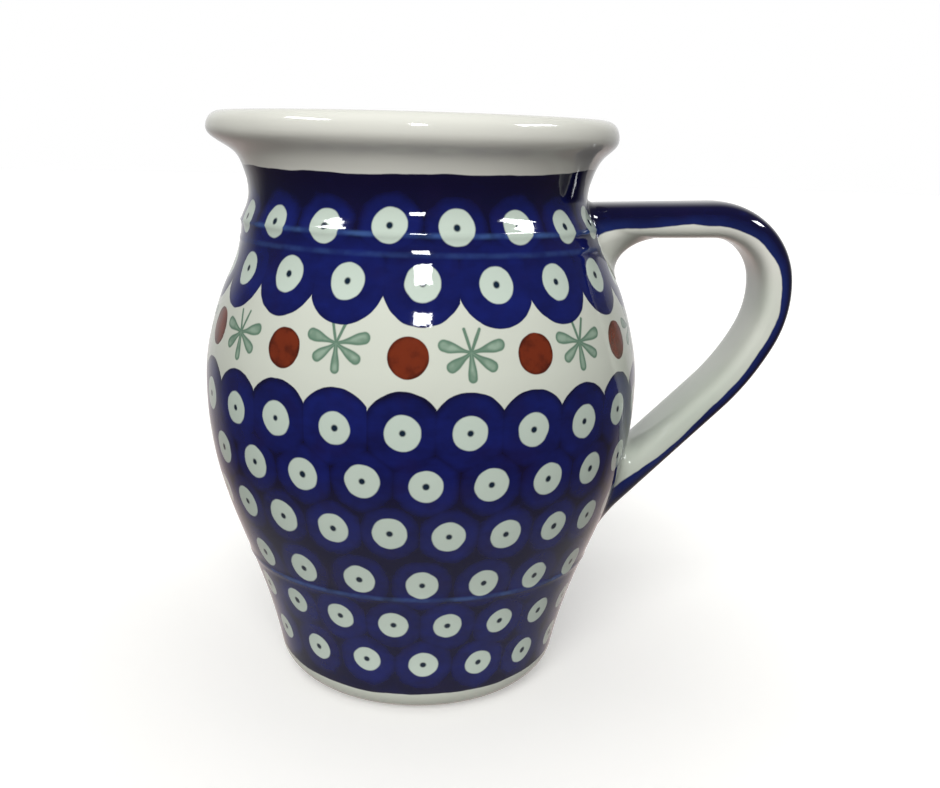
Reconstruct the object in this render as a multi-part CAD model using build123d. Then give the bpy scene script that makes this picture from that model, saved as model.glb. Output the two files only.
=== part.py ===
from build123d import *
import os
from math import cos, sin, pi, radians

os.makedirs("parts", exist_ok=True)

# A pitcher-shaped stoneware mug. Millimetres, +Z up, origin at the middle of the foot,
# where the mug stands. The handle lies along +X and the pouring lip points to -X.

# ---- driving sizes: body ----
overall_height = 139.2
foot_ring_radius = 27.5       # outer edge of the ring that the mug stands on
foot_ring_width = 5.5
foot_recess = 2.0             # height of the hollow under the base
foot_radius = 35.2            # at the top of the rounded foot corner
foot_height = 7.5
foot_flare = 0.20             # outward slope of the wall just above the foot corner
belly_radius = 53.0
belly_height = 76.5
neck_radius = 41.3
neck_drop = 17.2              # from the top of the lip down to the neck's narrowest line
lip_radius = 47.6
lip_height = 3.6              # from the widest line of the rolled lip up to its top
lip_thickness = 8.0
lip_rounding = 3.4            # how far the lip's outer and inner edges roll in over its top
wall = 4.8
floor_thickness = 6.0
floor_rounding = 6.0
hollow_overrun = 1.5          # how far the form that cuts the hollow goes on above the lip

# ---- driving sizes: mouth ----
mouth_lean = 1.6              # how far the mouth's middle sits towards the pouring lip
lean_depth = 19.0             # the wall starts to lean this far below the neck line
spout_pull = 3.1              # how far the pouring lip is drawn out
spout_depth = 7.0             # height over which it is drawn out
spout_half_angle = 42.0       # degrees to each side of -X

# ---- driving sizes: handle ----
strap_width = 20.0
strap_thickness = 8.6
strap_edge_radius = 3.2
handle_drop = 6.4             # from the neck line down to the strap's upper end
handle_rise = 1.9             # degrees that the strap climbs as it leaves the neck
handle_reach = 34.0           # straight run of the strap, measured from its inner end
upper_root_depth = 5.3        # how far inside the neck's radius the strap's upper end starts
lower_root_depth = 7.2        # how far inside the foot's radius the strap's lower end stops
bends = [(15.7, 85.7), (25.8, 33.3), (60.5, 18.0)]   # radius and turn of each bend, top to bottom

# ---- driving sizes: luting slip ----
slip_layer = 0.8              # between the wall and each end of the strap
slip_bead_height = 3.2        # how far the bead climbs from the wall
slip_bead_width = 1.8         # how far the bead stands out around the strap

lip_line = overall_height - lip_height       # the lip's widest line
neck_height = overall_height - neck_drop

SECTION_POINTS = 24
STEPS = 6                     # stations along each curve of the wall
EDGE_STEPS = 3                # stations along each rounded edge of the lip


def bezier(points, t):
    """Point at t on the cubic curve through four (radius, height) control points."""
    weights = ((1 - t) ** 3, 3 * t * (1 - t) ** 2, 3 * t * t * (1 - t), t ** 3)
    radius = sum(w * p[0] for w, p in zip(weights, points))
    height = sum(w * p[1] for w, p in zip(weights, points))
    return radius, height


def wall_profile():
    """Stations (radius, height) up the outside of the wall, from the foot to the top."""
    side = belly_height - foot_height
    shoulder = neck_height - belly_height
    throat = lip_line - neck_height
    foot_corner = [
        (foot_ring_radius, 0),
        (foot_ring_radius + 0.45 * (foot_radius - foot_ring_radius), 0.12 * foot_height),
        (foot_radius - foot_flare * 0.45 * foot_height, 0.55 * foot_height),
        (foot_radius, foot_height),
    ]
    lower_wall = [
        (foot_radius, foot_height),
        (foot_radius + foot_flare * 0.42 * side, foot_height + 0.42 * side),
        (belly_radius, belly_height - 0.42 * side),
        (belly_radius, belly_height),
    ]
    upper_wall = [
        (belly_radius, belly_height),
        (belly_radius, belly_height + 0.46 * shoulder),
        (neck_radius, neck_height - 0.42 * shoulder),
        (neck_radius, neck_height),
    ]
    flare = [
        (neck_radius, neck_height),
        (neck_radius, neck_height + 0.62 * throat),
        (lip_radius, lip_line - 0.33 * throat),
        (lip_radius, lip_line),
    ]
    stations = [bezier(foot_corner, 0.0), bezier(foot_corner, 0.35), bezier(foot_corner, 0.7)]
    for curve in (lower_wall, upper_wall, flare):
        stations += [bezier(curve, step / STEPS) for step in range(STEPS)]
    return stations + rolled_edge(lip_radius, -lip_rounding)


def rolled_edge(radius, inset):
    """Quarter round from the lip's widest line to its top, moving in by inset."""
    turns = [radians(90 * k / EDGE_STEPS) for k in range(EDGE_STEPS + 1)]
    return [(radius + inset * (1 - cos(a)), lip_line + lip_height * sin(a)) for a in turns]


def smooth_step(value):
    """0 below 0, 1 above 1, and a smooth rise between."""
    value = min(max(value, 0.0), 1.0)
    return value * value * (3 - 2 * value)


def lean_at(height):
    """Shift of the wall's middle towards -X at a height."""
    return mouth_lean * smooth_step((height - neck_height + lean_depth) / lean_depth)


def pull_at(height, angle):
    """How far the pouring lip stands out at a height and an angle from +X."""
    rise = smooth_step((height - lip_line + spout_depth) / spout_depth)
    away = abs(angle - 180) / spout_half_angle
    side = 0.5 * (1 + cos(pi * away)) if away < 1 else 0.0
    return spout_pull * rise * side


def section(radius, height):
    """Closed outline of the wall at a height."""
    points = []
    for k in range(SECTION_POINTS):
        angle = 360 * k / SECTION_POINTS
        reach = radius + pull_at(height, angle)
        x = reach * cos(radians(angle)) - lean_at(height)
        y = reach * sin(radians(angle))
        points.append((x, y, height))
    return Wire([Edge.make_spline([Vector(*p) for p in points], periodic=True)])


def blank(grow=0.0):
    """Solid form of the body with no hollow, its wall moved out by grow."""
    return Solid.make_loft([section(radius + grow, height) for radius, height in wall_profile()])


def hollow():
    """Solid form of the space inside, carried on above the lip so that the cut comes through."""
    sections = []
    for radius, height in wall_profile():
        if floor_thickness < height < lip_line:
            rise = smooth_step((height - neck_height) / (lip_line - neck_height))
            sections.append((radius - wall - (lip_thickness - wall) * rise, height))
    base_radius = sections[0][0] - foot_flare * (sections[0][1] - floor_thickness)
    sections.insert(0, (base_radius, floor_thickness))
    sections += rolled_edge(lip_radius - lip_thickness, lip_rounding)[:-1]
    top_radius, top_height = sections[-1]
    sections.append((top_radius + hollow_overrun, top_height + hollow_overrun))
    space = Solid.make_loft([section(radius, height) for radius, height in sections])
    floor_edge = space.edges().sort_by(Axis.Z)[0]
    return space.fillet(floor_rounding, [floor_edge])


def make_body():
    body = blank() - hollow()
    recess_radius = foot_ring_radius - foot_ring_width
    recess = Pos(0, 0, foot_recess / 2) * Cylinder(recess_radius, foot_recess)
    body = body - recess
    return body


def strap_path():
    """Centre line of the strap: a straight run, three bends and a straight run back to the wall."""
    direction = Vector(cos(radians(handle_rise)), 0, sin(radians(handle_rise)))
    start = Vector(neck_radius - upper_root_depth, 0, neck_height - handle_drop)
    corner = start + direction * handle_reach
    pieces = [Edge.make_line(start, corner)]
    heading = handle_rise
    for radius, turn in bends:
        middle = corner + Vector(sin(radians(heading)), 0, -cos(radians(heading))) * radius
        spokes = [heading + 90, heading + 90 - turn / 2, heading + 90 - turn]
        arc = [middle + Vector(cos(radians(a)), 0, sin(radians(a))) * radius for a in spokes]
        pieces.append(Edge.make_three_point_arc(*arc))
        corner = arc[-1]
        heading -= turn
    length = (foot_radius - lower_root_depth - corner.X) / cos(radians(heading))
    end = corner + Vector(cos(radians(heading)), 0, sin(radians(heading))) * length
    pieces.append(Edge.make_line(corner, end))
    return Wire(pieces)


def strap(grow=0.0):
    """The whole strap, from inside the neck to inside the lower wall, grown by a margin."""
    path = strap_path()
    start_plane = Plane(origin=path @ 0, x_dir=(0, 1, 0), z_dir=path % 0)
    outline = RectangleRounded(strap_width + 2 * grow, strap_thickness + 2 * grow, strap_edge_radius + grow)
    return sweep(start_plane * outline, path=path)


def make_handle():
    return strap() - blank(slip_layer)


def make_slip_joints(handle):
    """Slip between the wall and the strap's two ends, with the bead that is pressed out."""
    bead = strap(slip_bead_width) & blank(slip_bead_height)
    slip = bead - blank() - handle
    lower, upper = slip.solids().sort_by(Axis.Z)
    return upper, lower


mug_body = make_body()
handle = make_handle()
upper_slip_joint, lower_slip_joint = make_slip_joints(handle)

parts = {
    "mug_body": mug_body,
    "handle": handle,
    "upper_slip_joint": upper_slip_joint,
    "lower_slip_joint": lower_slip_joint,
}
for name, part in parts.items():
    export_step(part, f"parts/{name}.step")
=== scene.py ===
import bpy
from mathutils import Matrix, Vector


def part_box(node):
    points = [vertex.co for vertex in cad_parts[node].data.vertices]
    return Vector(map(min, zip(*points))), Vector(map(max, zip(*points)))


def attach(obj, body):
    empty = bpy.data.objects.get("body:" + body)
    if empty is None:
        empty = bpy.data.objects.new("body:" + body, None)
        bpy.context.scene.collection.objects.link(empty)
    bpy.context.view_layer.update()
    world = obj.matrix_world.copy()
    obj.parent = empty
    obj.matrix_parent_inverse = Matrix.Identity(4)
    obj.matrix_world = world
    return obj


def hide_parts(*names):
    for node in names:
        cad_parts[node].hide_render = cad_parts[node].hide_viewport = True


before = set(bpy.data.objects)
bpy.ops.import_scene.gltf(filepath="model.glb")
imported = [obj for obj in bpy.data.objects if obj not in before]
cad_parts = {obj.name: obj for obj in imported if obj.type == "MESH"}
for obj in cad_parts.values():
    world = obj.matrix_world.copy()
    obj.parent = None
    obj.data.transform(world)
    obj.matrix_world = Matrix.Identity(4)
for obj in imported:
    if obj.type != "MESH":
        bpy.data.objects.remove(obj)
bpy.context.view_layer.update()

from math import cos, hypot, pi, radians, sin

import bpy
import numpy as np
from mathutils import Matrix, Vector

# A glazed stoneware pitcher mug. Shapes are worked out in millimetres in the row's frame:
# +Z up, origin under the foot, handle along +X, pouring lip to -X. MM turns them into metres.
MM = 0.001

# ---------------------------------------------------------------- sizes from the frame
body_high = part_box("mug_body")[1] / MM
TOP = body_high.z
BELLY_RADIUS = body_high.y
STRAP_HALF_WIDTH = (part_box("handle")[1] / MM).y

# ---------------------------------------------------------------- body sizes
FOOT_RING_RADIUS, FOOT_RING_WIDTH, FOOT_RECESS = 27.5, 5.5, 2.0
FOOT_RADIUS, FOOT_HEIGHT, FOOT_FLARE = 35.2, 7.5, 0.20
BELLY_HEIGHT = 76.5
NECK_RADIUS, NECK_DROP = 41.3, 17.2
LIP_RADIUS, LIP_HEIGHT, LIP_THICKNESS, LIP_ROUNDING = 47.6, 3.6, 8.0, 3.4
WALL, FLOOR_THICKNESS, FLOOR_ROUNDING = 4.8, 6.0, 6.0
MOUTH_LEAN, LEAN_DEPTH = 1.6, 19.0
SPOUT_PULL, SPOUT_DEPTH, SPOUT_HALF_ANGLE = 3.1, 7.0, 42.0
LIP_LINE = TOP - LIP_HEIGHT
NECK_HEIGHT = TOP - NECK_DROP
# fine moulded lines: height, relief, half width
RIDGES = ((114.3, 0.34, 0.6), (110.3, 0.18, 0.5), (33.5, 0.25, 0.55))
# how far the wall stands out at each height: it steps in above the upper moulded line and under the lip
NECK_STEP = (
    (88, 0.0), (92, 0.2), (95, 0.45), (98.3, 0.75), (100.5, 0.82), (104, 0.82), (108, 0.9), (110.5, 0.95),
    (112, 1.0), (114.6, 1.1), (115.5, 1.02), (117.4, 0.13), (118.6, -0.2), (119.8, -0.45), (121, -0.5),
    (123, -0.3), (126, 0.0), (128.5, -0.15), (130.2, -0.5), (131.4, -0.4), (132.6, 0.1),
    (134, 0.25), (135.6, 0.0))

BODY_COLUMNS = 288
ROW_STEP = 0.72               # between rows of the mesh on the outside
INNER_ROW_STEP = 1.3
LIP_ROW_STEP = 0.55
FLOOR_SHARES = (0.8, 0.55, 0.3, 0.05)    # rings of the floor, as shares of its edge's radius
LINING = 1                    # place of the plain white glaze among the body's materials


def smooth(value):
    """0 below 0, 1 above 1, a smooth rise between."""
    value = np.clip(value, 0.0, 1.0)
    return value * value * (3 - 2 * value)


def bezier(points, t):
    """Points along the cubic curve through control points, for an array t."""
    p = np.array(points, float)
    t = np.asarray(t)[:, None]
    return (1 - t) ** 3 * p[0] + 3 * t * (1 - t) ** 2 * p[1] + 3 * t * t * (1 - t) * p[2] + t ** 3 * p[3]


def respaced(points, step):
    """The same line with points an even distance apart, about step."""
    lengths = np.concatenate([[0], np.cumsum(np.linalg.norm(np.diff(points, axis=0), axis=1))])
    count = max(2, int(round(lengths[-1] / step)) + 1)
    at = np.linspace(0, lengths[-1], count)
    return np.stack([np.interp(at, lengths, points[:, k]) for k in range(points.shape[1])], -1)


def outer_wall():
    """(radius, height) up the outside, from the foot ring's edge to the lip's widest line."""
    t = np.linspace(0, 1, 60)
    side = BELLY_HEIGHT - FOOT_HEIGHT
    shoulder = NECK_HEIGHT - BELLY_HEIGHT
    throat = LIP_LINE - NECK_HEIGHT
    foot_step = FOOT_RADIUS - FOOT_RING_RADIUS
    curves = [
        [(FOOT_RING_RADIUS, 0), (FOOT_RING_RADIUS + 0.45 * foot_step, 0.12 * FOOT_HEIGHT),
         (FOOT_RADIUS - FOOT_FLARE * 0.45 * FOOT_HEIGHT, 0.55 * FOOT_HEIGHT), (FOOT_RADIUS, FOOT_HEIGHT)],
        [(FOOT_RADIUS, FOOT_HEIGHT), (FOOT_RADIUS + FOOT_FLARE * 0.42 * side, FOOT_HEIGHT + 0.42 * side),
         (BELLY_RADIUS, BELLY_HEIGHT - 0.42 * side), (BELLY_RADIUS, BELLY_HEIGHT)],
        [(BELLY_RADIUS, BELLY_HEIGHT), (BELLY_RADIUS, BELLY_HEIGHT + 0.46 * shoulder),
         (NECK_RADIUS, NECK_HEIGHT - 0.42 * shoulder), (NECK_RADIUS, NECK_HEIGHT)],
        [(NECK_RADIUS, NECK_HEIGHT), (NECK_RADIUS, NECK_HEIGHT + 0.62 * throat),
         (LIP_RADIUS, LIP_LINE - 0.33 * throat), (LIP_RADIUS, LIP_LINE)],
    ]
    return np.concatenate([bezier(curve, t)[:-1] for curve in curves] + [[(LIP_RADIUS, LIP_LINE)]])


def rolled_edge(radius, inset):
    """Quarter round from the lip's widest line to its top."""
    turn = np.linspace(0, pi / 2, 24)
    return np.stack([radius + inset * (1 - np.cos(turn)), LIP_LINE + LIP_HEIGHT * np.sin(turn)], -1)


def inner_wall(outside):
    """(radius, height) up the inside, from the floor's edge to the lip's widest line."""
    rise = smooth((outside[:, 1] - NECK_HEIGHT) / (LIP_LINE - NECK_HEIGHT))
    inside = np.stack([outside[:, 0] - WALL - (LIP_THICKNESS - WALL) * rise, outside[:, 1]], -1)
    above = inside[inside[:, 1] > FLOOR_THICKNESS + FLOOR_ROUNDING]
    corner_radius = above[0, 0] - FLOOR_ROUNDING
    turn = np.linspace(0, pi / 2, 14)
    corner = np.stack([corner_radius + FLOOR_ROUNDING * np.sin(turn),
                       FLOOR_THICKNESS + FLOOR_ROUNDING * (1 - np.cos(turn))], -1)
    return np.concatenate([corner[:-1], above])


STEP_HEIGHTS = np.linspace(NECK_STEP[0][0], NECK_STEP[-1][0], 120)
STEP_KERNEL = np.hanning(9) / np.hanning(9).sum()
STEP_SHARP = np.pad(np.interp(STEP_HEIGHTS, *zip(*NECK_STEP)), 4, mode="edge")
STEP_OUT = np.convolve(STEP_SHARP, STEP_KERNEL, mode="valid")


def relief(height):
    """How far the fine moulded lines and the neck's step stand out of the wall at a height."""
    lines = sum(rise * np.exp(-((height - at) / width) ** 2) for at, rise, width in RIDGES)
    return lines + np.interp(height, STEP_HEIGHTS, STEP_OUT)


def lean(height):
    """Shift of the wall's middle towards -X at a height."""
    return MOUTH_LEAN * smooth((height - NECK_HEIGHT + LEAN_DEPTH) / LEAN_DEPTH)


def pull(height, turn):
    """How far the pouring lip stands out at a height and a turn in radians from +X."""
    rise = smooth((height - LIP_LINE + SPOUT_DEPTH) / SPOUT_DEPTH)
    away = np.abs((np.asarray(turn) + 2 * pi) % (2 * pi) - pi) / radians(SPOUT_HALF_ANGLE)
    return SPOUT_PULL * rise * np.where(away < 1, 0.5 * (1 + np.cos(pi * np.minimum(away, 1))), 0.0)


UNEVEN_INSET = 0.06           # keeps the waviness inside the form's own size
UNEVEN_FROM = 12.0            # height at which the waviness is at its full, from none at the foot


def unevenness(height, turn):
    """Slight waviness of a form that was finished by hand."""
    return (0.07 * np.sin(2 * turn + height * 0.03 + 0.6) + 0.05 * np.sin(3 * turn - height * 0.07)
            + 0.03 * np.sin(5 * turn + height * 0.11 + 2.0))


def placed(radius, height, turn):
    """Points of the wall for a radius, height and turn in radians from +X."""
    wave = (unevenness(height, turn) - UNEVEN_INSET) * smooth(height / UNEVEN_FROM)
    reach = radius + pull(height, turn) + wave
    x, y = reach * np.cos(turn) - lean(height), reach * np.sin(turn)
    return np.stack(np.broadcast_arrays(x, y, height), -1)


OUTSIDE = outer_wall()


def wall_radius(height):
    """Radius of the outer surface at a height, with its relief."""
    return np.interp(height, OUTSIDE[:, 1], OUTSIDE[:, 0]) + relief(height)


def mesh_object(name, points, faces):
    """An object with smooth faces, from points in millimetres."""
    mesh = bpy.data.meshes.new(name)
    mesh.from_pydata((points * MM).tolist(), [], faces)
    mesh.validate()
    mesh.shade_smooth()
    piece = bpy.data.objects.new(name, mesh)
    bpy.context.scene.collection.objects.link(piece)
    return piece


def tube_faces(rows, columns):
    """Quads between rings of points, and the points' order is ring by ring."""
    faces = []
    for row in range(rows - 1):
        for k in range(columns):
            after = (k + 1) % columns
            low, high = row * columns, (row + 1) * columns
            faces.append((low + k, low + after, high + after, high + k))
    return faces


def closed_tube(name, rings):
    """An object from an array of rings, with a point in the middle of each end ring."""
    rows, columns = rings.shape[:2]
    points = np.concatenate([rings.reshape(-1, 3), [rings[0].mean(0)], [rings[-1].mean(0)]])
    faces = tube_faces(rows, columns)
    first, last = rows * columns, rows * columns + 1
    for k in range(columns):
        after = (k + 1) % columns
        faces.append((first, after, k))
        faces.append((last, (rows - 1) * columns + k, (rows - 1) * columns + after))
    return mesh_object(name, points, faces)


def make_body():
    """The whole surface of the body in one closed turn: base, foot, outside, lip, inside and floor."""
    recess_radius = FOOT_RING_RADIUS - FOOT_RING_WIDTH
    base = np.array([
        (1.0, FOOT_RECESS), (recess_radius - 0.8, FOOT_RECESS), (recess_radius - 0.2, FOOT_RECESS - 0.3),
        (recess_radius, FOOT_RECESS - 0.9), (recess_radius + 0.1, 0.5), (recess_radius + 0.6, 0.06),
        (recess_radius + 1.2, 0.0), (FOOT_RING_RADIUS - 0.6, 0.0)])
    outside = respaced(OUTSIDE, ROW_STEP)
    outside[:, 0] += relief(outside[:, 1])
    lip_out = respaced(rolled_edge(LIP_RADIUS, -LIP_ROUNDING), LIP_ROW_STEP)
    lip_in = respaced(rolled_edge(LIP_RADIUS - LIP_THICKNESS, LIP_ROUNDING), LIP_ROW_STEP)[::-1]
    inside = respaced(inner_wall(OUTSIDE), INNER_ROW_STEP)[::-1]
    floor = np.array([(inside[-1, 0] * share, FLOOR_THICKNESS) for share in FLOOR_SHARES])
    profile = np.concatenate([base, outside, lip_out[1:], lip_in, inside[1:], floor])
    turn = np.linspace(0, 2 * pi, BODY_COLUMNS, endpoint=False)
    rings = placed(profile[:, None, 0], profile[:, None, 1], turn[None, :])
    body = closed_tube("glazed_body", rings)
    first_inside = len(base) + len(outside) + len(lip_out) - 1
    wall_faces = (len(profile) - 1) * BODY_COLUMNS
    lined = np.zeros(len(body.data.polygons), dtype=np.int32)
    lined[first_inside * BODY_COLUMNS:wall_faces] = LINING
    lined[wall_faces + 1::2] = LINING
    body.data.polygons.foreach_set("material_index", lined)
    return body


# ---------------------------------------------------------------- handle
HANDLE_DROP, HANDLE_RISE, HANDLE_REACH = 6.4, 1.9, 34.0
UPPER_ROOT_DEPTH, LOWER_ROOT_DEPTH = 5.3, 7.2
BENDS = ((15.7, 85.7), (25.8, 33.3), (60.5, 18.0))    # radius and turn of each bend, top to bottom
STRAP_HALF_THICKNESS = (4.25, 4.45, 4.16, 4.3, 4.6)    # at even steps along the strap
MEAN_HALF_THICKNESS = 4.3
HIDDEN_END = 8.0              # stands for the distance round the strap at its two ends, inside the wall
SECTION_COLUMNS = 64
PATH_STEP = 1.0
ROOT_ROWS = 16
SUNK = 0.8                    # how far the strap's ends go on into the wall
ROOT_CORNER = 0.52            # how full the fillets are: 0 is a straight slope and 1 a sharp corner
CLEAR_OF_WALL = 1.0           # the fillets start where the strap is this far out of the wall
FREE_OF_WALL = 14.0           # the plain strap starts this far out of it
# how far each fillet runs out over the wall and climbs the strap: above, below and beside it
UPPER_SPREAD, UPPER_REACH = (1.2, 11.0, 1.8), (1.6, 17.0, 2.6)
LOWER_SPREAD, LOWER_REACH = (4.5, 4.0, 2.6), (8.0, 8.0, 5.0)


def strap_path():
    """(distance from the axis, height, heading) along the strap's middle line, closely spaced."""
    x, z, heading = NECK_RADIUS - UPPER_ROOT_DEPTH, NECK_HEIGHT - HANDLE_DROP, radians(HANDLE_RISE)
    rows = [(x, z, heading)]
    x += HANDLE_REACH * cos(heading)
    z += HANDLE_REACH * sin(heading)
    rows.append((x, z, heading))
    for radius, turn in BENDS:
        middle_x, middle_z = x + radius * sin(heading), z - radius * cos(heading)
        start = heading
        for part in np.linspace(0, 1, 40)[1:]:
            heading = start - radians(turn) * part
            x, z = middle_x - radius * sin(heading), middle_z + radius * cos(heading)
            rows.append((x, z, heading))
    length = (FOOT_RADIUS - LOWER_ROOT_DEPTH - x) / cos(heading)
    rows.append((x + length * cos(heading), z + length * sin(heading), heading))
    return np.array(rows)


def strap_section():
    """Closed outline of the strap: across (-1 to 1), out (-1 to 1), anticlockwise from the near edge."""
    turn = np.linspace(0, 2 * pi, SECTION_COLUMNS, endpoint=False)
    across, out = np.cos(turn), np.sin(turn)
    squareness = np.where(out > 0, 2.5, 3.4)
    across = np.sign(across) * np.abs(across) ** (2 / 3.0)
    out = np.sign(out) * np.abs(out) ** (2 / squareness)
    return across, out


def strap_rings(path):
    """Rings of points along the strap, and the way that it runs at each ring."""
    lengths = np.concatenate([[0], np.cumsum(np.hypot(np.diff(path[:, 0]), np.diff(path[:, 1])))])
    share = lengths / lengths[-1]
    thick = np.interp(share, np.linspace(0, 1, len(STRAP_HALF_THICKNESS)), STRAP_HALF_THICKNESS)
    across, out = strap_section()
    heading = path[:, 2]
    away = np.stack([-np.sin(heading), 0 * heading, np.cos(heading)], -1)
    along = np.stack([np.cos(heading), 0 * heading, np.sin(heading)], -1)
    middle = np.stack([path[:, 0], 0 * heading, path[:, 1]], -1)
    sideways = np.array([0.0, -1.0, 0.0])
    rings = (middle[:, None] + across[None, :, None] * STRAP_HALF_WIDTH * sideways
             + (out[None, :] * thick[:, None])[..., None] * away[:, None])
    return rings, along


def depth_in_wall(points):
    """How far points lie inside the wall's outer surface, level with it; below 0 is outside."""
    shifted = points[..., 0] + lean(points[..., 2])
    return wall_radius(points[..., 2]) - np.hypot(shifted, points[..., 1])


def wall_hit(starts, way):
    """Where lines from points outside the wall first meet it, going one way."""
    near, far = np.zeros(len(starts)), np.full(len(starts), 30.0)
    for _ in range(40):
        middle = (near + far) / 2
        inside = depth_in_wall(starts + middle[:, None] * way) > 0
        far = np.where(inside, middle, far)
        near = np.where(inside, near, middle)
    return starts + far[:, None] * way


def on_wall(arc, height):
    """Point of the wall at an arc length round from +X and a height."""
    radius = wall_radius(height)
    turn = arc / radius
    return np.stack([radius * np.cos(turn) - lean(height), radius * np.sin(turn), height], -1)


def root_rings(ring, way, spread, reach):
    """Rings of the fillet that joins a strap's end to the wall, from the strap down to the wall.

    ring lies on the strap outside the wall and way points along the strap into it. spread is how far
    the fillet runs out over the wall and reach how far it climbs the strap, one value for each column."""
    hits = wall_hit(ring, way)
    starts = hits - way * reach[:, None]
    middle = wall_hit(ring.mean(0)[None], way)[0]
    arc = np.arctan2(hits[:, 1], hits[:, 0] + lean(hits[:, 2])) * wall_radius(hits[:, 2])
    rise = hits[:, 2]
    rise_out = rise - middle[2]
    size = np.hypot(arc, rise_out)
    ends = on_wall(arc + arc / size * spread, rise + rise_out / size * spread)
    t = np.linspace(0, 1, ROOT_ROWS)[:, None, None]
    first, second = starts + ROOT_CORNER * (hits - starts), ends + ROOT_CORNER * (hits - ends)
    rings = ((1 - t) ** 3 * starts + 3 * t * (1 - t) ** 2 * first
             + 3 * t * t * (1 - t) * second + t ** 3 * ends)
    inward = middle - ends
    inward[:, 2] *= 0.2
    sunk = ends + way * SUNK * 0.5 - np.stack([ends[:, 0], ends[:, 1], 0 * ends[:, 2]], -1) * (SUNK / 45)
    return np.concatenate([rings, sunk[None]])


def make_handle():
    """The strap with a fillet of slip at each end, in one closed surface."""
    path = strap_path()
    dense = respaced(path, PATH_STEP)
    rings, along = strap_rings(dense)
    across, out = strap_section()
    sides = (np.maximum(out, 0) ** 2, np.maximum(-out, 0) ** 2, np.abs(across) ** 2)

    def round_strap(lengths):
        """A length for each column of the strap, from its lengths above, below and beside."""
        return sum(length * side for length, side in zip(lengths, sides)) / sum(sides)

    depth = depth_in_wall(rings).max(1)
    clear = (depth < -CLEAR_OF_WALL).nonzero()[0]
    first, last = clear[0], clear[-1]
    upper = root_rings(rings[first], -along[first], round_strap(UPPER_SPREAD), round_strap(UPPER_REACH))
    lower = root_rings(rings[last], along[last], round_strap(LOWER_SPREAD), round_strap(LOWER_REACH))
    free = (depth < -FREE_OF_WALL).nonzero()[0]
    start, stop = free[0], free[-1]
    blend_in = joined(upper[0], rings[start])
    blend_out = joined(lower[0], rings[stop])[::-1]
    body = np.concatenate([upper[::-1], blend_in, rings[start:stop + 1], blend_out, lower])
    piece = closed_tube("glazed_handle", body)
    mark_strap(piece, body)
    return piece


def joined(low, high):
    """Rings between a fillet's uneven top and a plain ring of the strap, neither included."""
    longest = np.linalg.norm(high - low, axis=1).max()
    count = max(2, int(longest / PATH_STEP))
    share = np.linspace(0, 1, count + 2)[1:-1, None, None]
    return low + (high - low) * share


def mark_strap(piece, rings):
    """Stores on each point how far round the strap it lies from the middle of the outer face, and how
    far along the strap, both in millimetres."""
    across, out = strap_section()
    rows, columns = rings.shape[:2]
    flat = np.stack([across * STRAP_HALF_WIDTH, out * MEAN_HALF_THICKNESS], -1)
    edges = np.linalg.norm(np.roll(flat, -1, axis=0) - flat, axis=1)
    quarter = columns // 4
    distance = np.zeros(columns)
    for k in range(columns):
        steps = (k - quarter) % columns
        forward = sum(edges[(quarter + s) % columns] for s in range(steps))
        distance[k] = min(forward, edges.sum() - forward)
    middles = rings.mean(1)
    along = np.concatenate([[0], np.cumsum(np.linalg.norm(np.diff(middles, axis=0), axis=1))])
    around_values = np.concatenate([np.tile(distance, rows), [HIDDEN_END, HIDDEN_END]])
    along_values = np.concatenate([np.repeat(along, columns), [along[0], along[-1]]])
    for name, values in (("strap_around", around_values), ("strap_along", along_values)):
        attribute = piece.data.attributes.new(name, "FLOAT", "POINT")
        attribute.data.foreach_set("value", values.astype(np.float32))


# ---------------------------------------------------------------- shader helpers
def srgb(red, green, blue):
    """Linear colour from 0-255 screen values."""
    def linear(value):
        value /= 255
        return value / 12.92 if value <= 0.04045 else ((value + 0.055) / 1.055) ** 2.4
    return linear(red), linear(green), linear(blue), 1.0


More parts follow.
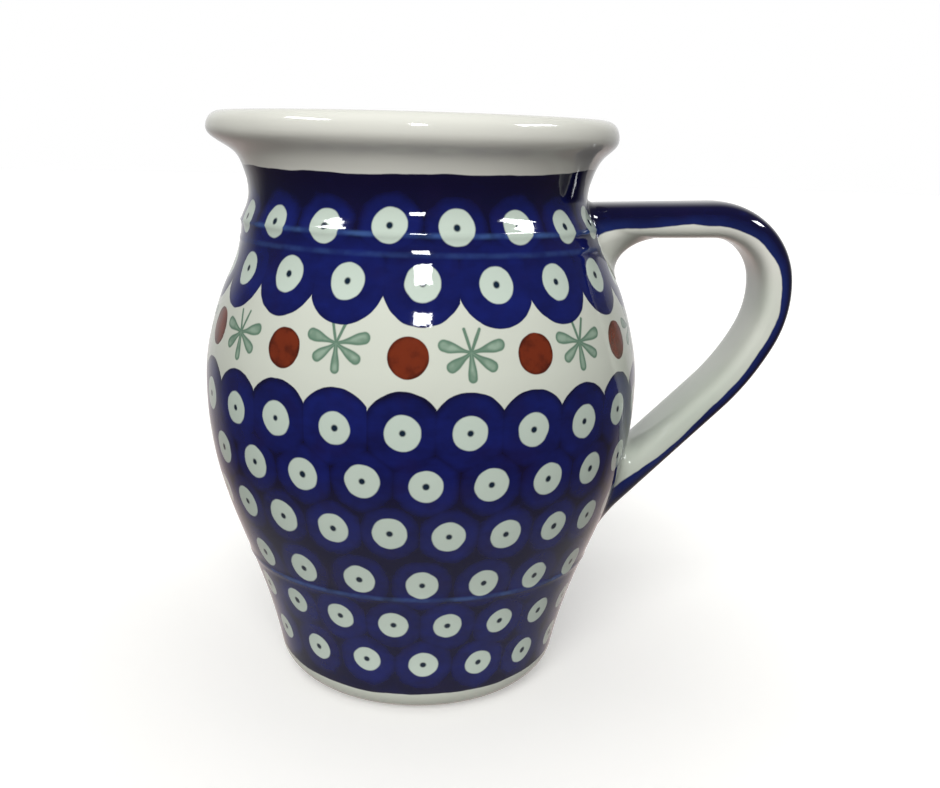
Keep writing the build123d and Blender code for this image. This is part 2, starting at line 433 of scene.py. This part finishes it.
class Graph:
    """Short ways to add nodes to a node tree. Arguments are sockets or plain values."""

    def __init__(self, tree):
        self.tree = tree

    def node(self, kind, **settings):
        node = self.tree.nodes.new("ShaderNode" + kind)
        for key, value in settings.items():
            setattr(node, key, value)
        return node

    def plug(self, socket, value):
        if isinstance(value, bpy.types.NodeSocket):
            self.tree.links.new(value, socket)
        else:
            socket.default_value = value

    def math(self, operation, *values, clamp=False):
        node = self.node("Math", operation=operation, use_clamp=clamp)
        for socket, value in zip(node.inputs, values):
            self.plug(socket, value)
        return node.outputs[0]

    def add(self, a, b):
        return self.math("ADD", a, b)

    def sub(self, a, b):
        return self.math("SUBTRACT", a, b)

    def mul(self, a, b):
        return self.math("MULTIPLY", a, b)

    def vector(self, operation, *values):
        node = self.node("VectorMath", operation=operation)
        for socket, value in zip(node.inputs, values):
            self.plug(socket, value)
        return node.outputs["Value"] if operation in ("LENGTH", "DOT_PRODUCT") else node.outputs["Vector"]

    def combine(self, x, y, z=0.0):
        node = self.node("CombineXYZ")
        for socket, value in zip(node.inputs, (x, y, z)):
            self.plug(socket, value)
        return node.outputs[0]

    def separate(self, vector):
        node = self.node("SeparateXYZ")
        self.plug(node.inputs[0], vector)
        return node.outputs

    def ramp(self, value, low, high, to_low=0.0, to_high=1.0, kind="SMOOTHSTEP"):
        """Goes from to_low to to_high as value goes from low to high."""
        node = self.node("MapRange", interpolation_type=kind)
        for socket, item in zip(node.inputs, (value, low, high, to_low, to_high)):
            self.plug(socket, item)
        return node.outputs[0]

    def within(self, distance, limit, soft):
        """1 where distance is under limit, with an edge that soft blurs."""
        return self.ramp(self.sub(distance, limit), -soft, soft, 1.0, 0.0)

    def mix(self, factor, a, b):
        node = self.node("Mix", data_type="RGBA")
        self.plug(node.inputs[0], factor)
        self.plug(node.inputs[6], a)
        self.plug(node.inputs[7], b)
        return node.outputs[2]

    def noise(self, vector, scale, detail=2.0, rough=0.5):
        node = self.node("TexNoise", noise_dimensions="3D")
        self.plug(node.inputs["Vector"], vector)
        self.plug(node.inputs["Scale"], scale)
        self.plug(node.inputs["Detail"], detail)
        self.plug(node.inputs["Roughness"], rough)
        return node.outputs["Fac"]

    def white(self, vector):
        node = self.node("TexWhiteNoise", noise_dimensions="3D")
        self.plug(node.inputs["Vector"], vector)
        return node.outputs["Color"]

    def group(self, group, **values):
        node = self.node("Group", node_tree=group)
        for key, value in values.items():
            self.plug(node.inputs[key], value)
        return node.outputs


def new_group(name, inputs, outputs):
    """A node group with float or vector sockets, its graph and its two end nodes."""
    tree = bpy.data.node_groups.new(name, "ShaderNodeTree")
    for label in inputs:
        kind = "NodeSocketVector" if label.startswith("v_") else "NodeSocketFloat"
        tree.interface.new_socket(label, in_out="INPUT", socket_type=kind)
    for label in outputs:
        kind = "NodeSocketVector" if label.startswith("v_") else "NodeSocketFloat"
        tree.interface.new_socket(label, in_out="OUTPUT", socket_type=kind)
    return tree, Graph(tree), tree.nodes.new("NodeGroupInput"), tree.nodes.new("NodeGroupOutput")


# ---------------------------------------------------------------- decoration
# Angles are degrees round the mug from -Y, positive towards the handle, and stop and start at the handle.
HANDLE_ANGLE = 90.0
DOT_RADIUS, EYE_RADIUS, RING_RADIUS = 3.72, 0.72, 8.7
# first stamp's angle, pitch, height, slant of the row, radius of the clear blue about a stamp, seed
STAMP_ROWS = {
    "neck": (9.3, 19.3, 115.9, 0.2, 4.6, 1.0),
    "hanging_scallops": (-0.6, 19.45, 104.8, -0.1, 7.0, 2.0),
    "standing_scallops": (-4.5, 15.65, 74.8, -0.26, 6.2, 3.0),
    "belly": (1.4, 15.35, 63.0, -0.7, 5.0, 4.0),
    "lower_belly": (-7.4, 15.05, 51.0, -1.2, 4.6, 5.0),
    "waist": (0.9, 18.0, 37.7, -1.4, 4.8, 6.0),
    "base": (-8.1, 18.0, 26.3, -1.66, 4.8, 7.0),
    "foot": (2.4, 20.8, 15.0, -0.93, 4.8, 8.0),
}
BLUE_TOP, BLUE_BOTTOM, BLUE_DIP = 127.6, 8.4, 2.0
# how far the blue's top edge sags at the front, and how far it climbs towards the handle
BLUE_TOP_DIP, BLUE_TOP_TILT = 0.9, 0.5
EDGE_WANDER = 1.6             # how far the brushed edges of the blue wander up and down
FRAY = 0.45                   # raggedness of the stamped outlines
STAMP_SCATTER, SIZE_SCATTER = 0.7, 0.35       # between stamps: degrees or mm of place, mm of radius
MOTIF_TURN_SCATTER, MOTIF_RISE_SCATTER = 1.4, 1.2
SEAM_MARGIN = 5.5             # degrees to each side of the handle with no whole stamp
LOW_DOT_SHRINK = 0.42         # how much smaller the dots low on the wall are
BARE_TOP = (0.25, 0.7)        # heights over which the bare clay of the foot ring gives way to glaze
LIP_TONE = (-8.0, 6.0)        # where cream starts to turn to white below BLUE_TOP, and over what height
# glaze lines that gather on the moulded lines: height and strength
PALE_LINES = ((114.3, 0.8), (110.3, 0.3), (33.6, 0.6))
MOTIF_PITCH = 31.4
DISC_ANGLE, DISC_HEIGHT, DISC_RADIUS = -3.4, 90.4, 4.3
SPRIG_ANGLE, SPRIG_HEIGHT = -20.2, 91.6
# across and up to the end of each brush stroke, its half width near the middle and near its end
SPRIG_STROKES = (
    (-6.9, 1.7, 0.4, 1.25), (7.3, 1.7, 0.4, 1.25), (-5.0, -3.6, 0.45, 1.15), (5.6, -3.5, 0.45, 1.15),
    (0.3, -6.2, 0.5, 1.0), (-1.5, 5.0, 0.35, 0.35), (2.0, 5.0, 0.35, 0.35))

CREAM = srgb(201, 206, 196)
WHITE = srgb(216, 217, 210)
DOT_WHITE = srgb(190, 204, 194)
BLUE = srgb(17, 27, 98)
DEEP_BLUE = srgb(9, 8, 46)
PURPLE = srgb(24, 14, 56)
PALE_BLUE = srgb(62, 92, 150)
EYE = srgb(16, 34, 52)
RUST = srgb(110, 42, 20)
DARK_RUST = srgb(74, 26, 14)
GREEN = srgb(92, 122, 104)
PALE_GREEN = srgb(142, 164, 148)
CLAY = srgb(206, 196, 172)
# painted shade: a grey that the strap's white side turns to towards its lower end
PAINTED_SHADE_WHITE = srgb(172, 180, 170)
ROYAL = srgb(30, 50, 120)


def coordinates_group():
    """Position in millimetres, the angle round the mug, the distance from its axis and the height."""
    tree, g, source, sink = new_group("mug_coordinates", [], ["v_position", "angle", "radius", "height"])
    place = g.node("TexCoord").outputs["Object"]
    scaled = g.vector("MULTIPLY", place, (1 / MM, 1 / MM, 1 / MM))
    x, y, z = g.separate(scaled)
    radius = g.math("SQRT", g.add(g.mul(x, x), g.mul(y, y)))
    angle = g.mul(g.math("ARCTAN2", x, g.mul(y, -1.0)), 180 / pi)
    past_handle = g.math("GREATER_THAN", angle, HANDLE_ANGLE)
    g.plug(sink.inputs["v_position"], scaled)
    g.plug(sink.inputs["angle"], g.sub(angle, g.mul(past_handle, 360.0)))
    g.plug(sink.inputs["radius"], radius)
    g.plug(sink.inputs["height"], z)
    return tree


def stamp_group():
    """A row of hand-stamped eyes: white dot, dark eye and the round of blue about them."""
    names = ["angle", "radius", "height", "first", "pitch", "level", "slant", "halo", "seed", "ragged"]
    tree, g, source, sink = new_group("stamp_row", names, ["dot", "eye", "ring", "halo", "coat"])
    i = source.outputs
    count = g.math("ROUND", g.math("DIVIDE", g.sub(i["angle"], i["first"]), i["pitch"]))
    slip = g.separate(g.white(g.combine(count, i["seed"], 0.5)))
    centre = g.add(g.add(i["first"], g.mul(count, i["pitch"])), g.mul(g.sub(slip[0], 0.5), STAMP_SCATTER))
    across = g.mul(g.mul(g.sub(i["angle"], centre), pi / 180), i["radius"])
    level = g.add(i["level"], g.mul(i["slant"], g.math("SINE", g.mul(centre, pi / 180))))
    up = g.sub(g.sub(i["height"], level), g.mul(g.sub(slip[1], 0.5), STAMP_SCATTER))
    distance = g.math("SQRT", g.add(g.mul(across, across), g.mul(up, up)))
    frayed = g.add(distance, i["ragged"])
    size = g.mul(g.sub(slip[2], 0.5), SIZE_SCATTER)
    whole = g.within(g.math("ABSOLUTE", g.add(centre, 90.0)), 180.0 - SEAM_MARGIN, 0.5)
    shrink = g.ramp(i["height"], 25.0, 55.0, LOW_DOT_SHRINK, 0.0)
    dot = g.within(g.add(g.sub(frayed, size), shrink), DOT_RADIUS, 0.2)
    g.plug(sink.inputs["dot"], g.mul(dot, whole))
    g.plug(sink.inputs["eye"], g.mul(g.within(frayed, EYE_RADIUS, 0.25), whole))
    g.plug(sink.inputs["ring"], g.within(frayed, RING_RADIUS, 0.14))
    halo = g.ramp(frayed, i["halo"], g.add(i["halo"], 4.0), 1.0, 0.0)
    g.plug(sink.inputs["halo"], halo)
    g.plug(sink.inputs["coat"], g.mul(g.within(frayed, RING_RADIUS, 0.7), slip[2]))
    return tree


def motif_position(g, spots, first, level, seed):
    """Across and up in millimetres from the nearest motif of a row."""
    count = g.math("ROUND", g.math("DIVIDE", g.sub(spots["angle"], first), MOTIF_PITCH))
    slip = g.separate(g.white(g.combine(count, seed, 0.5)))
    centre = g.add(g.add(first, g.mul(count, MOTIF_PITCH)), g.mul(g.sub(slip[0], 0.5), MOTIF_TURN_SCATTER))
    across = g.mul(g.mul(g.sub(spots["angle"], centre), pi / 180), spots["radius"])
    up = g.sub(g.sub(spots["height"], level), g.mul(g.sub(slip[1], 0.5), MOTIF_RISE_SCATTER))
    return across, up


def sprig_group():
    """Seven brush strokes that spread from one point: how much paint, and how near a stroke's edge."""
    tree, g, source, sink = new_group("sprig", ["across", "up", "ragged"], ["paint", "core"])
    point = g.combine(source.outputs["across"], source.outputs["up"])
    paint = core = None
    for end_across, end_up, thin, fat in SPRIG_STROKES:
        length = hypot(end_across, end_up)
        way = (end_across / length, end_up / length, 0.0)
        run = g.vector("DOT_PRODUCT", point, way)
        share = g.math("DIVIDE", run, length - fat, clamp=True)
        nearest = g.node("VectorMath", operation="SCALE")
        nearest.inputs[0].default_value = way
        g.plug(nearest.inputs["Scale"], g.mul(share, length - fat))
        gap = g.vector("LENGTH", g.vector("SUBTRACT", point, nearest.outputs[0]))
        width = g.ramp(share, 0.15, 0.9, thin, fat)
        depth = g.add(g.sub(gap, width), source.outputs["ragged"])
        stroke = g.ramp(depth, -0.18, 0.18, 1.0, 0.0)
        inner = g.ramp(depth, -0.9, -0.1, 1.0, 0.0)
        paint = stroke if paint is None else g.math("MAXIMUM", paint, stroke)
        core = inner if core is None else g.math("MAXIMUM", core, inner)
    g.plug(sink.inputs["paint"], paint)
    g.plug(sink.inputs["core"], core)
    return tree


def glaze(g, colour, position, roughness=0.045, bare=None):
    """Clear gloss glaze over a colour: the shader and its output. bare marks clay with no glaze."""
    shader = g.node("BsdfPrincipled")
    g.plug(shader.inputs["Base Color"], colour)
    shader.inputs["IOR"].default_value = 1.52
    mottle = g.noise(position, 0.12, 3.0)
    rough = g.ramp(mottle, 0.3, 0.75, roughness * 0.7, roughness * 1.5, "LINEAR")
    if bare is not None:
        rough = g.add(rough, g.mul(bare, 0.6))
    g.plug(shader.inputs["Roughness"], rough)
    swell = g.noise(position, 0.05, 1.0)
    peel = g.noise(position, 0.5, 2.0)
    height = g.add(g.mul(swell, 0.30), g.mul(peel, 0.02))
    bump = g.node("Bump")
    bump.inputs["Strength"].default_value = 1.0
    bump.inputs["Distance"].default_value = MM
    g.plug(bump.inputs["Height"], height)
    g.plug(shader.inputs["Normal"], bump.outputs[0])
    output = g.node("OutputMaterial")
    g.plug(output.inputs["Surface"], shader.outputs[0])


def new_material(name):
    """An empty node material and its graph."""
    material = bpy.data.materials.new(name)
    material.use_nodes = True
    material.node_tree.nodes.clear()
    return material, Graph(material.node_tree)


def cobalt(g, position, density):
    """Cobalt blue under glaze. density is 0 for one clear coat of colour and 1 for a full dark one."""
    cloud = g.noise(position, 0.17, 3.0, 0.6)
    streak = g.noise(g.vector("MULTIPLY", position, (0.1, 0.1, 0.3)), 1.0, 3.0, 0.6)
    uneven = g.add(g.mul(g.sub(cloud, 0.5), 0.9), g.mul(g.sub(streak, 0.5), 0.8))
    depth = g.add(density, uneven)
    blue = g.mix(g.ramp(depth, 0.1, 1.15, kind="LINEAR"), BLUE, DEEP_BLUE)
    purple = g.ramp(g.noise(position, 0.11, 2.0), 0.5, 0.72, 0.0, 0.35)
    return g.mix(purple, blue, PURPLE)


def body_material(coordinates, stamps, sprig):
    """The stamped and brushed outside of the body, its white lip and its bare foot ring."""
    material, g = new_material("stamped_glaze")
    spots = g.group(coordinates)
    position, height = spots["v_position"], spots["height"]
    ragged = g.mul(g.sub(g.noise(position, 0.3, 1.0), 0.5), FRAY)
    dots = eyes = halos = coats = None
    ring_of = {}
    for name, (first, pitch, level, slant, halo, seed) in STAMP_ROWS.items():
        row = g.group(stamps, angle=spots["angle"], radius=spots["radius"], height=height, first=first,
                      pitch=pitch, level=level, slant=slant, halo=halo, seed=seed, ragged=ragged)
        ring_of[name] = row["ring"]
        dots = row["dot"] if dots is None else g.math("MAXIMUM", dots, row["dot"])
        eyes = row["eye"] if eyes is None else g.math("MAXIMUM", eyes, row["eye"])
        halos = row["halo"] if halos is None else g.math("MAXIMUM", halos, row["halo"])
        coats = row["coat"] if coats is None else g.math("MAXIMUM", coats, row["coat"])

    # the two fields of blue, with scalloped edges on the cream band and a brushed edge under the lip
    drift = g.sub(g.noise(position, 0.06, 3.0), 0.5)
    wander = g.sub(height, g.mul(drift, EDGE_WANDER))
    above = g.ramp(g.sub(height, STAMP_ROWS["hanging_scallops"][2]), -0.1, 0.1)
    upper = g.math("MAXIMUM", above, ring_of["hanging_scallops"])
    front = g.math("COSINE", g.mul(spots["angle"], pi / 180))
    side = g.math("SINE", g.mul(spots["angle"], pi / 180))
    top = g.add(g.ramp(front, 0.3, 1.0, BLUE_TOP, BLUE_TOP - BLUE_TOP_DIP), g.mul(side, BLUE_TOP_TILT))
    upper = g.mul(upper, g.ramp(g.sub(wander, top), -0.12, 0.16, 1.0, 0.0))
    below = g.ramp(g.sub(height, STAMP_ROWS["standing_scallops"][2]), -0.1, 0.1, 1.0, 0.0)
    lower = g.math("MAXIMUM", below, ring_of["standing_scallops"])
    bottom = g.ramp(front, 0.1, 1.0, BLUE_BOTTOM, BLUE_BOTTOM - BLUE_DIP)
    lower = g.mul(lower, g.ramp(g.sub(wander, bottom), -0.12, 0.16))
    field = g.math("MAXIMUM", upper, lower)

    # cream band with rust discs and green sprigs between them
    disc_across, disc_up = motif_position(g, spots, DISC_ANGLE, DISC_HEIGHT, 11.0)
    disc_gap = g.math("SQRT", g.add(g.mul(disc_across, disc_across), g.mul(disc_up, disc_up)))
    disc_gap = g.add(disc_gap, g.mul(ragged, 0.7))
    disc = g.within(disc_gap, DISC_RADIUS, 0.14)
    rim = g.mul(g.within(disc_gap, DISC_RADIUS - 0.5, 0.4), -0.2)
    rust_tone = g.ramp(g.add(g.noise(position, 0.35, 3.0), rim), 0.2, 0.6)
    rust = g.mix(rust_tone, RUST, DARK_RUST)
    sprig_across, sprig_up = motif_position(g, spots, SPRIG_ANGLE + MOTIF_PITCH, SPRIG_HEIGHT, 12.0)
    strokes = g.group(sprig, across=sprig_across, up=sprig_up, ragged=g.mul(ragged, 0.5))
    leaf_tone = g.mul(strokes["core"], g.ramp(g.noise(position, 0.35, 2.0), 0.3, 0.65, 0.35, 1.0))
    leaf = g.mix(leaf_tone, GREEN, PALE_GREEN)
    warm = g.mix(g.ramp(g.sub(height, BLUE_TOP + LIP_TONE[0]), 0.0, LIP_TONE[1]), CREAM, WHITE)
    ground = g.mix(disc, warm, rust)
    ground = g.mix(strokes["paint"], ground, leaf)

    # blue is clearest about each stamp, and deepens between them and in the brushed band under the lip
    density = g.add(g.ramp(halos, 0.0, 1.0, 1.15, 0.25), g.mul(coats, 0.3))
    density = g.add(density, g.mul(g.ramp(height, 118.5, 121.5), 0.12))
    blue = cobalt(g, position, density)
    for at, strength in PALE_LINES:
        line = g.ramp(g.math("ABSOLUTE", g.sub(height, at)), 0.1, 0.9, 1.0, 0.0)
        broken = g.ramp(g.noise(position, 0.22, 2.0), 0.35, 0.65, 0.35, 1.0)
        blue = g.mix(g.mul(g.mul(line, broken), strength), blue, PALE_BLUE)
    blue = g.mix(dots, blue, DOT_WHITE)
    blue = g.mix(eyes, blue, EYE)
    colour = g.mix(field, ground, blue)

    # the ring that the mug stands on is bare clay
    bare = g.ramp(height, *BARE_TOP, 1.0, 0.0)
    colour = g.mix(bare, colour, CLAY)
    glaze(g, colour, position, bare=bare)
    return material


def lining_material():
    """The plain white glaze inside."""
    material, g = new_material("white_glaze")
    position = g.vector("MULTIPLY", g.node("TexCoord").outputs["Object"], (1 / MM, 1 / MM, 1 / MM))
    tone = g.ramp(g.noise(position, 0.04, 2.0), 0.3, 0.7)
    glaze(g, g.mix(tone, WHITE, CREAM), position)
    return material


# how far round the strap the blue reaches from the middle of its outer face, at even steps along it
BLUE_REACH = (14.8, 13.5, 12.8, 13.6, 12.5, 11.8, 11.9, 11.6, 11.2, 12.0, 13.2)


def handle_material(strap_length):
    """Blue over the strap's outer side, with an uneven edge, and white over its inner side, greyed by
    painted shade towards the lower end.
    """
    material, g = new_material("strap_glaze")
    position = g.vector("MULTIPLY", g.node("TexCoord").outputs["Object"], (1 / MM, 1 / MM, 1 / MM))
    around = g.node("Attribute", attribute_name="strap_around").outputs["Fac"]
    along = g.node("Attribute", attribute_name="strap_along").outputs["Fac"]
    limit = BLUE_REACH[0]
    step = strap_length / (len(BLUE_REACH) - 1)
    for k in range(1, len(BLUE_REACH)):
        change = BLUE_REACH[k] - BLUE_REACH[k - 1]
        limit = g.add(g.ramp(along, (k - 1) * step, k * step, 0.0, change, "LINEAR"), limit)
    drift = g.mul(g.sub(g.noise(position, 0.09, 3.0), 0.5), 1.6)
    blue_side = g.ramp(g.sub(g.add(around, drift), limit), -0.15, 0.2, 1.0, 0.0)
    tone = g.ramp(g.noise(position, 0.04, 2.0), 0.3, 0.7)
    white = g.mix(tone, WHITE, CREAM)
    # painted shade: the white side greys towards the strap's lower end, where it faces down and in
    white = g.mix(g.ramp(along, 45.0, 100.0, 0.0, 0.75), white, PAINTED_SHADE_WHITE)
    density = g.ramp(g.noise(position, 0.07, 2.0), 0.3, 0.7, 1.05, 1.6)
    blue = cobalt(g, position, density)
    thin = g.ramp(g.sub(limit, g.add(around, drift)), 0.2, 3.0, 0.5, 0.0)
    brushed = g.vector("MULTIPLY", position, (0.06, 0.2, 0.06))
    broken = g.ramp(g.noise(brushed, 1.0, 2.0), 0.3, 0.6, 0.35, 1.0)
    blue = g.mix(g.mul(thin, broken), blue, ROYAL)
    colour = g.mix(blue_side, white, blue)
    glaze(g, colour, position)
    return material


# ---------------------------------------------------------------- stage, light and camera
CAMERA_DISTANCE, CAMERA_HEIGHT = 273.8, 133.0
CAMERA_YAW, CAMERA_PITCH, CAMERA_ROLL = 2.54, 12.69, 1.64      # degrees right, down and clockwise
LENS, SENSOR = 42.45, 36.0


def make_camera():
    """The camera, where the photographer stood."""
    data = bpy.data.cameras.new("camera")
    data.lens, data.sensor_width = LENS, SENSOR
    data.clip_start, data.clip_end = 0.01, 50
    camera = bpy.data.objects.new("camera", data)
    bpy.context.scene.collection.objects.link(camera)
    yaw, pitch, roll = (radians(a) for a in (CAMERA_YAW, CAMERA_PITCH, CAMERA_ROLL))
    forward = Vector((sin(yaw) * cos(pitch), cos(yaw) * cos(pitch), -sin(pitch)))
    level_right = Vector((cos(yaw), -sin(yaw), 0))
    level_up = level_right.cross(forward)
    right = cos(roll) * level_right + sin(roll) * level_up
    up = -sin(roll) * level_right + cos(roll) * level_up
    turn = Matrix((right, up, -forward)).transposed()
    place = Vector((0, -CAMERA_DISTANCE, CAMERA_HEIGHT)) * MM
    camera.matrix_world = Matrix.Translation(place) @ turn.to_4x4()
    bpy.context.scene.camera = camera


def plain_material(name, colour):
    """A matt material of one colour, with its shader not yet joined to an output."""
    material, g = new_material(name)
    shader = g.node("BsdfPrincipled")
    shader.inputs["Base Color"].default_value = colour
    shader.inputs["Roughness"].default_value = 0.7
    shader.inputs["Specular IOR Level"].default_value = 0.2
    return material, g, shader


FLOOR_GLOW = 0.25
FLOOR_RADIUS, CARD_RADIUS, CARD_STRENGTH = 4.0, 0.17, 0.45    # radii in metres
CARD_LIFT = 0.05              # height of the card over the floor, in millimetres
FLOOR_SIDES = 128


def make_floor():
    """A plain pale floor to the eye, and a soft-edged card on it that the mug's glaze reflects."""
    turn = np.linspace(0, 2 * pi, FLOOR_SIDES, endpoint=False)
    circle = np.stack([np.cos(turn), np.sin(turn), 0 * turn], -1) / MM
    floor = mesh_object("floor", circle * FLOOR_RADIUS, [tuple(range(FLOOR_SIDES))])
    material, g, shader = plain_material("pale_floor", (0.88, 0.88, 0.87, 1))
    shader.inputs["Emission Color"].default_value = (1, 1, 1, 1)
    shader.inputs["Emission Strength"].default_value = FLOOR_GLOW
    g.plug(g.node("OutputMaterial").inputs["Surface"], shader.outputs[0])
    floor.data.materials.append(material)
    floor.visible_glossy = floor.visible_diffuse = False

    lifted = circle * CARD_RADIUS + (0.0, 0.0, CARD_LIFT)
    card = mesh_object("floor_card", lifted, [tuple(range(FLOOR_SIDES))])
    material, g, shader = plain_material("floor_card", (0.8, 0.8, 0.79, 1))
    x, y, _ = g.separate(g.node("TexCoord").outputs["Object"])
    distance = g.math("SQRT", g.add(g.mul(x, x), g.mul(y, y)))
    g.plug(shader.inputs["Alpha"], g.ramp(distance, FOOT_RADIUS * MM, CARD_RADIUS, CARD_STRENGTH, 0.0))
    g.plug(g.node("OutputMaterial").inputs["Surface"], shader.outputs[0])
    card.data.materials.append(material)
    card.visible_camera = card.visible_shadow = False


def area_light(name, place, target, size, power, tint):
    """A rectangular soft light, with its place and size in metres."""
    data = bpy.data.lights.new(name, "AREA")
    data.shape, (data.size, data.size_y) = "RECTANGLE", size
    data.energy, data.color = power, tint
    light = bpy.data.objects.new(name, data)
    light.location = place
    light.rotation_euler = (Vector(target) - Vector(place)).to_track_quat("-Z", "Y").to_euler()
    bpy.context.scene.collection.objects.link(light)
    return light


WORLD_FRONT, WORLD_BEHIND = 0.10, 0.8
WARM_BELOW = (1.0, 0.80, 0.74, 1)


def make_world():
    """White all round to the eye. To the mug it is bright behind, dark in front and warm from below."""
    world = bpy.data.worlds.new("studio")
    bpy.context.scene.world = world
    world.use_nodes = True
    world.node_tree.nodes.clear()
    g = Graph(world.node_tree)
    _, y, z = g.separate(g.node("TexCoord").outputs["Generated"])
    strength = g.ramp(y, 0.45, 1.0, WORLD_FRONT, WORLD_BEHIND)
    shown = g.node("LightPath").outputs["Is Camera Ray"]
    background = g.node("Background")
    below = g.mul(g.ramp(z, -0.05, -0.5), g.sub(1.0, shown))
    g.plug(background.inputs["Color"], g.mix(below, (1, 1, 1, 1), WARM_BELOW))
    g.plug(background.inputs["Strength"], g.math("MAXIMUM", strength, shown))
    g.plug(g.node("OutputWorld").inputs["Surface"], background.outputs[0])


# name, power, spread in degrees, where it comes from
SUNS = (("sun_front", 2.8, 40.0, (-0.12, -1.0, 0.60)), ("sun_above", 1.55, 80.0, (-0.1, -0.2, 1.0)))
WINDOW_DISTANCE = 0.95
# name, azimuth from the camera side in degrees, elevation in degrees, size in metres, power
WINDOWS = (("window_left", -75, 40, (0.46, 0.11), 5.0), ("window_right", 77, 40, (0.38, 0.11), 5.0),
           ("window_middle", -1, 31, (0.15, 0.13), 2.0))
WINDOW_AIM = (0, 0, 0.105)
WINDOW_TINT, SUN_TINT = (0.96, 0.98, 1.0), (1.0, 0.99, 0.965)


def make_lights():
    """Three windows in front, whose images lie on the lip, neck and shoulder, and broad light from afar."""
    aim = Vector(WINDOW_AIM)
    for name, azimuth, elevation, size, power in WINDOWS:
        level, turn = cos(radians(elevation)), radians(azimuth)
        way = Vector((sin(turn) * level, -cos(turn) * level, sin(radians(elevation))))
        window = area_light(name, aim + WINDOW_DISTANCE * way, aim, size, power, WINDOW_TINT)
        window.visible_diffuse = False
    for name, power, spread, source in SUNS:
        data = bpy.data.lights.new(name, "SUN")
        data.energy, data.angle, data.color = power, radians(spread), SUN_TINT
        sun = bpy.data.objects.new(name, data)
        sun.rotation_euler = (-Vector(source)).to_track_quat("-Z", "Y").to_euler()
        sun.visible_glossy = False
        bpy.context.scene.collection.objects.link(sun)


# ---------------------------------------------------------------- put together
body = make_body()
handle = make_handle()
coordinates = coordinates_group()
body.data.materials.append(body_material(coordinates, stamp_group(), sprig_group()))
body.data.materials.append(lining_material())
along_values = [item.value for item in handle.data.attributes["strap_along"].data]
handle.data.materials.append(handle_material(max(along_values)))
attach(body, "root")
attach(handle, "root")
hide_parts("mug_body")
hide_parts("handle", "upper_slip_joint", "lower_slip_joint")

make_camera()
make_floor()
make_world()
make_lights()
bpy.context.scene.view_settings.view_transform = "Standard"
